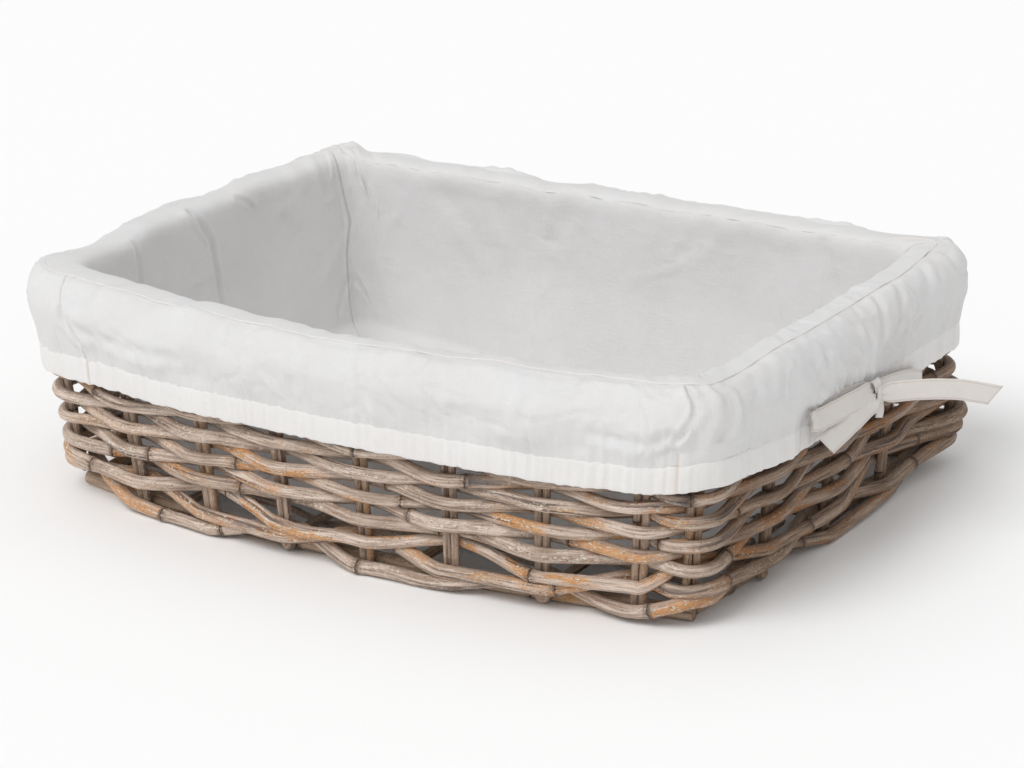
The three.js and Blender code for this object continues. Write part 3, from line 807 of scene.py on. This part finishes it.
# Folds: points as (stake number, millimetres from the rim's outer edge), depth and width in millimetres.
SKIRT_FOLDS = [
    ([(4.12, 2), (4.14, 16), (4.24, 34)], 1.6, 2.2),
    ([(4.2, 34), (4.5, 60)], 1.0, 6.0),
    ([(6.9, 2), (7.12, 10), (7.5, 8)], 1.6, 3.0),
    ([(6.3, 20), (6.9, 12)], 1.0, 5.0),
    ([(7.75, 4), (7.86, 16), (7.88, 26), (7.68, 50)], 3.2, 2.8),
    ([(8.08, 4), (8.13, 14), (8.12, 28), (8.06, 54)], 3.2, 2.6),
    ([(7.66, 44), (7.2, 52), (6.6, 50)], 1.8, 5.0),
    ([(0.52, 40), (0.72, 48), (1.3, 52), (2.0, 50)], 1.6, 5.0),
    ([(0.5, 34), (0.56, 48), (0.7, 60)], 1.8, 3.0),
    ([(0.5, 30), (1.0, 24)], 1.0, 5.0),
    ([(1.6, 6), (2.1, 22)], 0.8, 7.0),
    ([(2.6, 30), (3.4, 46)], 0.9, 8.0),
    ([(5.1, 52), (5.9, 44)], 1.0, 7.0),
    ([(5.4, 16), (5.7, 36)], 0.7, 6.0),
    ([(8.5, 12), (8.9, 44)], 1.2, 7.0),
    ([(9.0, 6), (9.35, 40)], 1.4, 6.0),
    ([(9.45, 3), (9.7, 30), (10.05, 62)], 1.9, 4.0),
    ([(9.8, 3), (9.95, 26), (10.12, 56)], 1.7, 3.2),
    ([(10.15, 2), (10.14, 30), (10.16, 56)], 1.6, 3.0),
    ([(10.5, 3), (10.4, 28), (10.2, 58)], 1.9, 3.5),
    ([(10.85, 3), (10.7, 30), (10.28, 60)], 1.8, 4.0),
    ([(11.3, 6), (11.1, 36), (10.5, 64)], 1.6, 5.0),
    ([(9.3, 44), (9.95, 64)], 1.6, 5.0),
    ([(11.75, 5), (11.9, 40)], 1.5, 5.0),
    ([(13.4, 6), (13.6, 40)], 1.2, 6.0),
    ([(15.6, 4), (15.5, 30)], 1.5, 4.0),
    ([(17.2, 10), (17.5, 50)], 1.1, 7.0),
    ([(19.8, 6), (19.9, 44)], 1.6, 4.5),
    ([(21.4, 10), (21.8, 46)], 1.2, 6.0),
    ([(22.9, 6), (22.7, 40)], 1.2, 6.0),
]
TUB_FOLDS = [
    ([(19.9, 12), (19.62, 34), (19.3, 66)], 1.8, 3.0),
    ([(20.28, 14), (20.26, 50)], 1.3, 3.5),
    ([(20.18, 10), (20.2, 34)], 1.0, 2.2),
    ([(22.25, 22), (22.05, 52), (22.0, 120)], 3.0, 2.6),
    ([(23.15, 24), (23.2, 66)], 2.6, 2.4),
    ([(21.55, 24), (21.35, 36)], 2.2, 2.2),
    ([(20.9, 60), (20.5, 110)], 0.9, 7.0),
    ([(18.2, 40), (17.6, 90)], 0.9, 9.0),
    ([(16.4, 30), (16.7, 70)], 0.9, 8.0),
    ([(14.6, 34), (14.9, 62)], 1.0, 7.0),
    ([(13.1, 30), (12.8, 90)], 1.1, 7.0),
    ([(20.08, 128), (19.8, 152)], 1.3, 3.0),
    ([(20.12, 130), (20.3, 154)], 1.1, 3.0),
    ([(9.15, 2), (9.25, 16)], 1.3, 2.6),
    ([(9.40, 3), (9.45, 20)], 1.5, 2.4),
    ([(9.62, 2), (9.60, 15)], 1.2, 2.2),
    ([(9.86, 3), (9.93, 22)], 1.6, 2.6),
    ([(10.12, 2), (10.10, 14)], 1.2, 2.0),
    ([(10.34, 3), (10.45, 18)], 1.5, 2.4),
    ([(10.70, 2), (10.72, 16)], 1.2, 2.4),
    ([(8.2, 30), (8.4, 90)], 1.2, 6.0),
    ([(11.0, 26), (10.8, 80)], 1.1, 6.0),
    ([(3.0, 30), (3.2, 80)], 1.0, 8.0),
    ([(5.8, 28), (5.6, 90)], 1.0, 8.0),
]
# Sewn corner seams: points as (stake number, millimetres from the rim's outer edge).
INNER_SEAMS = [
    [(20.07, 14), (20.04, 50), (20.0, 80), (20.08, 110), (20.12, 150), (20.12, 300)],
    [(8.06, 14), (8.04, 80), (8.08, 300)],
    [(0.06, 14), (0.05, 80), (0.08, 300)],
    [(12.0, 14), (12.02, 80), (12.0, 300)],
]
# The inner wall's sharpest creases, which need as fine a mesh as the seams.
SHARP_CREASES = [
    [(22.25, 22), (22.0, 120)],
    [(23.15, 24), (23.2, 66)],
    [(21.55, 24), (21.35, 36)],
    [(19.9, 12), (19.3, 66)],
]
OUTER_SEAMS = [
    [(0.41, 0), (0.45, 16), (0.50, 30), (0.56, 42), (0.70, 56), (0.72, 90)],
    [(7.70, 62), (7.70, 90)],
    [(12.05, 0), (12.0, 90)],
    [(19.95, 0), (20.0, 90)],
]


def seam_distance(stake, drop, seam):
    """Millimetres from a sewn seam, measured round the rim."""
    total = RING_LENGTH[-1]
    path = np.array(seam, float)
    middle = ring_length(np.interp(drop, path[:, 1], path[:, 0]))
    return np.mod(ring_length(stake) - middle + total / 2, total) - total / 2


def sewn_seams(stake, drop, seams, depth=1.1):
    """Relief of the seams, a narrow groove with a fuller lip on one side, and the colour of their thread."""
    relief, thread_color = np.zeros(stake.shape), np.zeros(stake.shape)
    for seam in seams:
        away = seam_distance(stake, drop, seam)
        started = drop > seam[0][1]
        relief += (0.6 * np.exp(-(((away - 3) / 2.0) ** 2)) - depth * np.exp(-np.abs(away) / 1.0)) * started
        thread_color = np.maximum(thread_color, np.exp(-((away / 0.8) ** 2)) * started)
    return relief, thread_color


CAUGHT_CORNER = 20  # stake number of the corner where the cloth is caught up
FOOT_SINK = 15.5
FOOT_SLIDE = 0.045  # share of the way to the middle of the basket
FOOT_HEIGHT = 70  # how far up the wall it reaches


def settle_foot(points, stake, heights):
    """Lets the foot of the wall sink and slide in, except in the corner where the cloth is caught up."""
    from_corner = np.abs(np.mod(stake - CAUGHT_CORNER + STAKE_COUNT / 2, STAKE_COUNT) - STAKE_COUNT / 2)
    low = 1 - smooth_step((heights - heights[0]) / FOOT_HEIGHT)
    share = low[:, None] * smooth_step(from_corner / 3)[None]
    points[..., 2] -= FOOT_SINK * share
    points[..., :2] *= 1 - FOOT_SLIDE * share[..., None]


TUB_SCALE, SKIRT_SCALE = 180, 80  # drops that count as one turn of the random folds
FLOOR_RINGS = 26
FLOOR_HEIGHT = 24.5


def with_floor(stake):
    """Closes the foot of the wall with rings that run in to the middle of the floor."""
    count = len(stake)
    bumps = Ripple(23, (3, 12), (-2, 2))

    def extra(flat, faces, uvs, seam):
        ring = flat[:count]
        centre = ring.mean(0)
        added, start = [], len(flat)
        for number in range(1, FLOOR_RINGS + 1):
            share = 1 - number / FLOOR_RINGS
            new = centre + (ring - centre) * share
            sunk = smooth_step((1 - share) * 7)
            level = FLOOR_HEIGHT * sunk + 0.9 * bumps(stake, share) * sunk * share
            new[:, 2] = ring[:, 2] * (1 - sunk) + level
            added.append(new)
        k = np.arange(count)
        floor_faces = []
        for number in range(FLOOR_RINGS):
            outer = k if number == 0 else start + (number - 1) * count + k
            inner = start + number * count + k
            floor_faces.append(np.stack([outer, inner, np.roll(inner, -1), np.roll(outer, -1)], -1))
        floor_faces = np.concatenate(floor_faces)
        flat = np.concatenate([flat, *added])
        uvs = np.concatenate([uvs, flat[floor_faces.ravel()][:, :2] * MM])
        return flat, faces + floor_faces.tolist(), uvs, np.append(seam, np.zeros(FLOOR_RINGS * count))

    return extra


def add_tub():
    profile, lengths = along_profile(TUB_PROFILE, 3.0)
    stake = ring_stations(3.0, INNER_SEAMS + SHARP_CREASES)
    grid_stake, grid_drop = np.meshgrid(stake, lengths[-1] - lengths)
    level = grid_drop / TUB_SCALE
    slow = Ripple(21, (3, 14), (-0.8, 0.8))(grid_stake, level)
    small = Ripple(22, (30, 90), (-4, 4))(grid_stake, level)
    away_from_edge = smooth_step(grid_drop / 6)
    on_wall = smooth_step((grid_drop - 20) / 30)
    relief = 1.6 * slow * on_wall + (0.22 + 0.25 * (1 - on_wall)) * small * away_from_edge
    relief += total_relief(grid_stake, grid_drop, TUB_FOLDS, 25) * away_from_edge
    relief += 0.7 * wrinkle_lines(grid_stake, level, 201, (2, 13), (-1.4, 1.4), 0.12) * on_wall
    relief -= 0.4 * wrinkle_lines(grid_stake, level, 211, (3, 22), (-2.4, 2.4), 0.12) * on_wall
    sewn, seam = sewn_seams(grid_stake, grid_drop, INNER_SEAMS)
    relief = np.maximum(relief + sewn, -1.3 - 2 * on_wall)  # deeper would reach the wicker
    weights = smooth_step((profile[:, 1] - 110) / 70)
    points = sheet_points(stake, profile, rim_offsets(stake), weights, relief)
    settle_foot(points, stake, profile[:, 1])
    return grid_mesh("liner_tub", points, stake, lengths, LINER, seam, with_floor(stake))


HEM_LEVEL = 128
# Height of the top of the casing at stake numbers: the tape inside pulls it up here and there.
HEM_HEIGHTS = [(0, 127), (2, 128), (4, 130), (6, 129), (7, 130), (8, 136), (9, 127), (10.2, 128), (11, 130),
               (12, 125), (14, 128), (16, 128), (18, 128), (20, 128), (22, 128), (24, 127)]


def hem_height(stake):
    """Height of the top of the casing."""
    at, heights = np.transpose(HEM_HEIGHTS)
    return np.interp(np.mod(stake, STAKE_COUNT), at, heights) + 0.8 * Ripple(31, (6, 20))(stake)


def pull(stake):
    """How strongly the cloth is gathered, from 0 to 1: most beside the tie."""
    return 0.2 + 0.8 * np.exp(-(((np.mod(stake, STAKE_COUNT) - 10.3) / 1.6) ** 2))


def hem_gathers(stake):
    """Fine gathers of the hem, which run on from the casing into the skirt."""
    return 0.6 * Ripple(51, (150, 330), waves=24)(stake) + 0.5 * Ripple(52, (50, 130))(stake)


def add_skirt():
    profile, lengths = along_profile(SKIRT_PROFILE, 2.2)
    stake = ring_stations(2.0, OUTER_SEAMS)
    drop = lengths / lengths[-1]
    grid_stake, grid_drop = np.meshgrid(stake, lengths)
    _, share = np.meshgrid(stake, drop)
    gathered = pull(stake)[None]
    puffs = Ripple(41, (5, 22), (-0.9, 0.9))(grid_stake, share)
    folds = Ripple(42, (30, 80), (-0.8, 0.8))(grid_stake, share)
    fading = smooth_step(share / 0.06) * smooth_step((0.93 - share) / 0.2)
    relief = 1.7 * puffs * fading
    relief += (0.35 + 1.3 * gathered) * 0.8 * folds * fading * share
    relief += (0.5 + 1.3 * gathered) * hem_gathers(stake)[None] * smooth_step((share - 0.4) / 0.45)
    relief += total_relief(grid_stake, grid_drop, SKIRT_FOLDS, 45) * fading
    level = grid_drop / SKIRT_SCALE
    crumple = Ripple(46, (40, 150), (-3.5, 3.5), waves=30)(grid_stake, level)
    relief += (0.26 + 0.25 * gathered) * crumple * fading
    relief -= 1.3 * wrinkle_lines(grid_stake, level, 401, (4, 26), (-1.4, 1.4), 0.10) * fading
    relief += 1.1 * wrinkle_lines(grid_stake, level, 411, (6, 34), (-2.2, 2.2), 0.08) * fading
    sewn, seam = sewn_seams(grid_stake, grid_drop, OUTER_SEAMS)
    relief += sewn * smooth_step(share / 0.06)
    relief = np.maximum(relief, -1.9 - 2.5 * smooth_step((share - 0.45) / 0.2))
    weights = 1 - smooth_step(drop * 1.4)
    points = sheet_points(stake, profile, rim_offsets(stake), weights, relief)
    points[..., 2] += (hem_height(stake) - HEM_LEVEL)[None] * (smooth_step(drop) ** 1.5)[:, None]
    return grid_mesh("liner_skirt", points, stake, lengths, LINER, seam)


CASING_OUT, CASING_DEPTH, CASING_THICKNESS = 14.9, 21.5, 3.0


def add_casing():
    """The hem casing: a flat tube of cloth, gathered on the tape inside it."""
    stake = ring_stations(1.5, [seam[-2:] for seam in OUTER_SEAMS])
    angle = np.linspace(0, 1, 31) * TURN
    flat_out = CASING_THICKNESS / 2 * np.sign(np.sin(angle)) * np.abs(np.sin(angle)) ** 0.6
    flat_drop = CASING_DEPTH / 2 * (1 - np.sign(np.cos(angle)) * np.abs(np.cos(angle)) ** 0.9)
    down = (flat_drop / CASING_DEPTH)[:, None]
    strength = 0.5 + 1.4 * pull(stake)
    outward = np.maximum(0, np.sin(angle))[:, None]
    hem_seam = np.zeros((len(angle), len(stake)))
    for seam in OUTER_SEAMS:
        away = seam_distance(stake, np.full(len(stake), seam[-1][1]), seam)
        hem_seam += np.exp(-((away / 0.8) ** 2))[None]
    relief = hem_gathers(stake)[None] * strength[None] * (0.3 + 0.7 * outward)
    edge = Ripple(53, (20, 90))(stake)[None] + 0.5 * Ripple(54, (120, 240))(stake)[None]
    out = CASING_OUT + flat_out[:, None] + relief + 1.4 * down - 1.2 * hem_seam * outward
    height = hem_height(stake)[None] + 1.0 - flat_drop[:, None] + 0.5 * edge * down
    points = beside_wall(np.broadcast_to(stake[None], out.shape), height, out)
    lengths = length_along(np.stack([flat_out, flat_drop], -1))
    return grid_mesh("liner_hem_casing", points[::-1], stake, lengths, CASING, hem_seam[::-1])


# ---------- Piping ----------
def thread(name, line, radius, material, sides=8):
    """A thin round cord of cloth along a closed line."""
    line = np.concatenate([line, line[:1]])
    points = ring_points(line, radius, (0.1, 0.2, 1.0), sides)
    around = np.arange(sides + 1) * TURN * radius / sides * MM
    quads, uvs = tube_faces(len(line), sides, length_along(line) * MM, around)
    faces = quads.tolist() + end_faces(len(line), sides)
    uvs = np.concatenate([uvs, np.zeros((2 * sides, 2))])
    seam = np.zeros(len(line) * sides)
    made = make_mesh(name, points.reshape(-1, 3), faces, uvs, material, {"seam": seam}, "liner")
    return made


def rim_surface(stake, out):
    """Points on the cloth over the rim, at a distance out from the middle of the wall."""
    profile = np.array(TUB_PROFILE[-4:] + SKIRT_PROFILE[1:4])
    height = np.interp(out, profile[:, 0], profile[:, 1])
    sway, rise = rim_offsets(stake)
    return beside_wall(stake, height + rise, out + sway)


# How far out from the middle of the wall the piped seam runs, at stake numbers.
PIPING_OUT = [(0, -1), (0.3, -1), (2, -1), (3.5, -2.6), (5, -7), (7, -7), (8, -2.6), (11, -4), (11.9, -8),
              (12.4, -23.5), (19.6, -23.5), (20.1, -6), (20.6, 10.5), (23.4, 10.5), (23.8, 4), (24, -1)]


def add_rim_seam():
    """The piped seam between tub and skirt: along the top of the rim at the front and on the right,
    on its inner edge at the back and on its outer edge on the left."""
    stake = np.linspace(0, STAKE_COUNT, 1800, endpoint=False)
    line = rim_surface(stake, np.interp(stake, *np.transpose(PIPING_OUT)))
    line[:, 2] += 0.25 + 0.25 * Ripple(61, (30, 90))(stake)
    sunk_at_corner = 1.6 * np.exp(-(((stake - 19.87) / 0.3) ** 2))
    sunk_on_left = 1.3 * (np.abs(stake - 22.1) < 1.85)
    line[:, 2] -= sunk_at_corner + sunk_on_left
    return thread("liner_rim_seam", line, 0.85, PIPING)


# ---------- Tie ----------
TAPE_WIDTH = 17
BAND_WIDTH = 11  # of the tape where it is pulled narrow round the knot
STITCH_LINE = 0.84  # share of the tape's half width
PINCH_LENGTH = 14  # over which a tape narrows to its end
TAPE_WAVES = ((3.1, 0.6), (5.3, -0.9), (9.7, 1.3))  # length of each wave, and how far it runs aslant
# Routes from the knot's centre: right, back and up.
TIE_ROUTES = {
    "tie_tail_long": [(1, 0, 1), (5.4, 2, 2), (20, 11, 4), (40, 22, 5.5), (58, 32, 5), (81, 44, 1)],
    "tie_tail_short": [(3, 2, -1), (4, -6, -1), (5, -24, -1), (7, -46, -2.5), (8, -96, -8.5)],
    "tie_loop": [(-1.5, 3, 4), (-2, -6, 5), (-2, -30, 8.5), (-2.5, -60, 11.5), (-2.5, -92, 12),
                 (-1, -102, 11.5), (1.5, -92, 10), (3, -60, 9), (2.5, -30, 7), (0.2, -6, 5), (-0.5, 3, 4)],
}
KNOT_END_ROUTE = [(4.5, 0, -6), (5.0, 0.5, -12), (4.0, 1.0, -17.5)]
SECOND_END_ROUTE = [(-3, 3, 1), (-3.5, 25, -1), (-3.5, 60, -6.5), (-3, 92, -15.5)]
TAIL_CUTS = {"tie_tail_long": 4.5, "tie_tail_short": 3}
# Which way each tape's width points; a sideways part swings its lower edge out from the wall.
TAPE_TILTS = {"tie_tail_long": (0, 0, 1), "tie_tail_short": (-0.55, 0, 0.84), "tie_loop": (-0.3, 0, 0.95)}


def tape(name, line, seed, width=TAPE_WIDTH, across=(0, 0, 1), pinch=(0, 0), cut=0.0):
    """A flat double-stitched tape along a line. It narrows by the pinch shares at its ends;
    cut slants its far end by that many millimetres."""
    rng = np.random.default_rng(seed)
    length = length_along(line)
    tangent, side, face = frames_along(line, across)
    place = np.linspace(-1, 1, 23)
    share = length / length[-1]
    at_start = 1 - smooth_step(length / PINCH_LENGTH)
    at_end = 1 - smooth_step((length[-1] - length) / PINCH_LENGTH)
    narrowing = 1 - pinch[0] * at_start - pinch[1] * at_end
    half = width / 2 * narrowing
    from_stitches = np.abs(np.abs(place) - STITCH_LINE)
    stitches = np.exp(-((from_stitches / 0.05) ** 2))
    thick = 0.55 + 0.22 * (from_stitches > 0.1) * (np.abs(place) > STITCH_LINE) - 0.16 * stitches
    thick[[0, -1]] = 0.25
    waves = sum(
        np.sin(length[:, None] / wave + tilt * place[None] + rng.uniform(0, TURN))
        for wave, tilt in TAPE_WAVES
    ) / len(TAPE_WAVES)
    crumple = 0.55 * waves * (1.2 - 0.4 * narrowing[:, None])
    crumple += 2.2 * (1 - narrowing[:, None]) * np.sin(place[None] * 7 + 1)
    slant = cut * place[None] * smooth_step((share - 0.6) / 0.4)[:, None]
    middle = line[:, None] + half[:, None, None] * place[None, :, None] * side[:, None]
    middle = middle + crumple[..., None] * face[:, None] + slant[..., None] * tangent[:, None]
    front = middle + thick[None, :, None] * face[:, None]
    back = middle - thick[None, :, None] * face[:, None]
    around = np.concatenate([front, back[:, ::-1]], 1)
    steps, count = around.shape[:2]
    across_both = np.concatenate([place, place[::-1] + 2.2, [3.4]]) * width / 2 * MM
    quads, uvs = tube_faces(steps, count, length * MM, across_both)
    faces = quads.tolist() + end_faces(steps, count)
    uvs = np.concatenate([uvs[:, ::-1], np.zeros((2 * count, 2))])
    seam = np.tile(0.75 * stitches, 2 * steps)
    made = make_mesh(name, around.reshape(-1, 3), faces, uvs, TAPE, {"seam": seam}, "liner")
    return made


def tie_line(route, spacing=1.5):
    return smooth_line(KNOT_CENTRE + np.array(route, float), spacing)


def knot_route():
    """A little over once round the tapes, moving on as it goes."""
    angle = np.linspace(0.3, 0.3 + 1.06 * TURN, 60)
    turns = angle / TURN
    y = 0.8 * np.sin(angle) + 1.2 * turns - 0.6
    return np.stack([4.6 * np.cos(angle) + 0.9 * turns, y, 12.6 * np.sin(angle)], -1)


def add_tie():
    """A half bow: one loop and two tails come out of a band that is wrapped tightly round them."""
    for index, (name, route) in enumerate(TIE_ROUTES.items()):
        line = tie_line(route)
        length = length_along(line)[-1]
        pinch = (0.45, 0.45 if name == "tie_loop" else 0)
        made = tape(name, line, 70 + index, across=TAPE_TILTS[name], pinch=pinch, cut=TAIL_CUTS.get(name, 0))
        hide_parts(name)
    band = tie_line(knot_route(), 1.0)
    length = length_along(band)[-1]
    knot = tape("tie_knot", band, 80, width=BAND_WIDTH, across=(0.12, 1, 0.15), pinch=(0.15, 0.15))
    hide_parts("tie_knot")
    stub = tie_line(KNOT_END_ROUTE, 1.0)
    end = tape("tie_knot_end", stub, 81, width=BAND_WIDTH, across=(0.1, 1, 0.1), pinch=(0.1, 0), cut=2)
    length_along(stub)[-1] * MM
    second = tie_line(SECOND_END_ROUTE)
    loose = tape("tie_second_end", second, 82, pinch=(0.45, 0), cut=-3)
    length_along(second)[-1] * MM


# ---------- Camera, floor and light ----------
TARGET_HEIGHT = 0.09
FLOOR_REACH = 12


def add_camera():
    """The photo's view, from a fit to the corners of the rim and the foot."""
    azimuth, elevation, roll = (math.radians(a) for a in (32.32, 19.06, -0.80))
    distance = 2.7575
    right = Vector((math.cos(azimuth), math.sin(azimuth), 0))
    towards = Vector((
        math.sin(azimuth) * math.cos(elevation),
        -math.cos(azimuth) * math.cos(elevation),
        math.sin(elevation),
    ))
    up = towards.cross(right)
    turned = math.cos(roll) * right + math.sin(roll) * up
    data = bpy.data.cameras.new("camera")
    data.sensor_width = 36
    data.lens = 119.2215234
    data.shift_x, data.shift_y = 0.01175, -0.01142
    data.clip_end = 50
    camera = bpy.data.objects.new("camera", data)
    target = Vector((FRAME_SHIFT * MM).tolist()) + Vector((0, 0, TARGET_HEIGHT))
    axes = Matrix((turned, towards.cross(turned), towards)).transposed().to_4x4()
    camera.matrix_world = Matrix.Translation(target + towards * distance) @ axes
    bpy.context.scene.collection.objects.link(camera)
    bpy.context.scene.camera = camera


def add_floor():
    """A wide pale floor."""
    mesh = bpy.data.meshes.new("floor")
    corners = [(x * FLOOR_REACH, y * FLOOR_REACH, 0) for x, y in ((-1, -1), (1, -1), (1, 1), (-1, 1))]
    mesh.from_pydata(corners, [], [(0, 1, 2, 3)])
    floor = bpy.data.objects.new("floor", mesh)
    material = bpy.data.materials.new("floor")
    material.use_nodes = True
    surface = material.node_tree.nodes["Principled BSDF"]
    surface.inputs["Base Color"].default_value = (0.97, 0.97, 0.97, 1)
    surface.inputs["Roughness"].default_value = 0.9
    mesh.materials.append(material)
    bpy.context.scene.collection.objects.link(floor)


def add_lights():
    """Soft light from all round, and a broad sun from above the front."""
    world = bpy.data.worlds.new("studio")
    world.use_nodes = True
    background = world.node_tree.nodes["Background"]
    background.inputs["Color"].default_value = (1, 1, 1, 1)
    background.inputs["Strength"].default_value = 0.67
    bpy.context.scene.world = world
    sun = bpy.data.lights.new("sun", "SUN")
    sun.energy = 1.4
    sun.angle = math.radians(35)
    light = bpy.data.objects.new("sun", sun)
    light.rotation_euler = Vector((-0.16, -0.6, 0.78)).to_track_quat("Z", "Y").to_euler()
    bpy.context.scene.collection.objects.link(light)
    bpy.context.scene.view_settings.view_transform = "Standard"


add_camera()
add_floor()
add_lights()
add_rows()
add_wale()
add_stakes()
add_base()
add_floor_weave()
add_rim()
tub = add_tub()
piping = add_rim_seam()
skirt = add_skirt()
casing = add_casing()
add_tie()
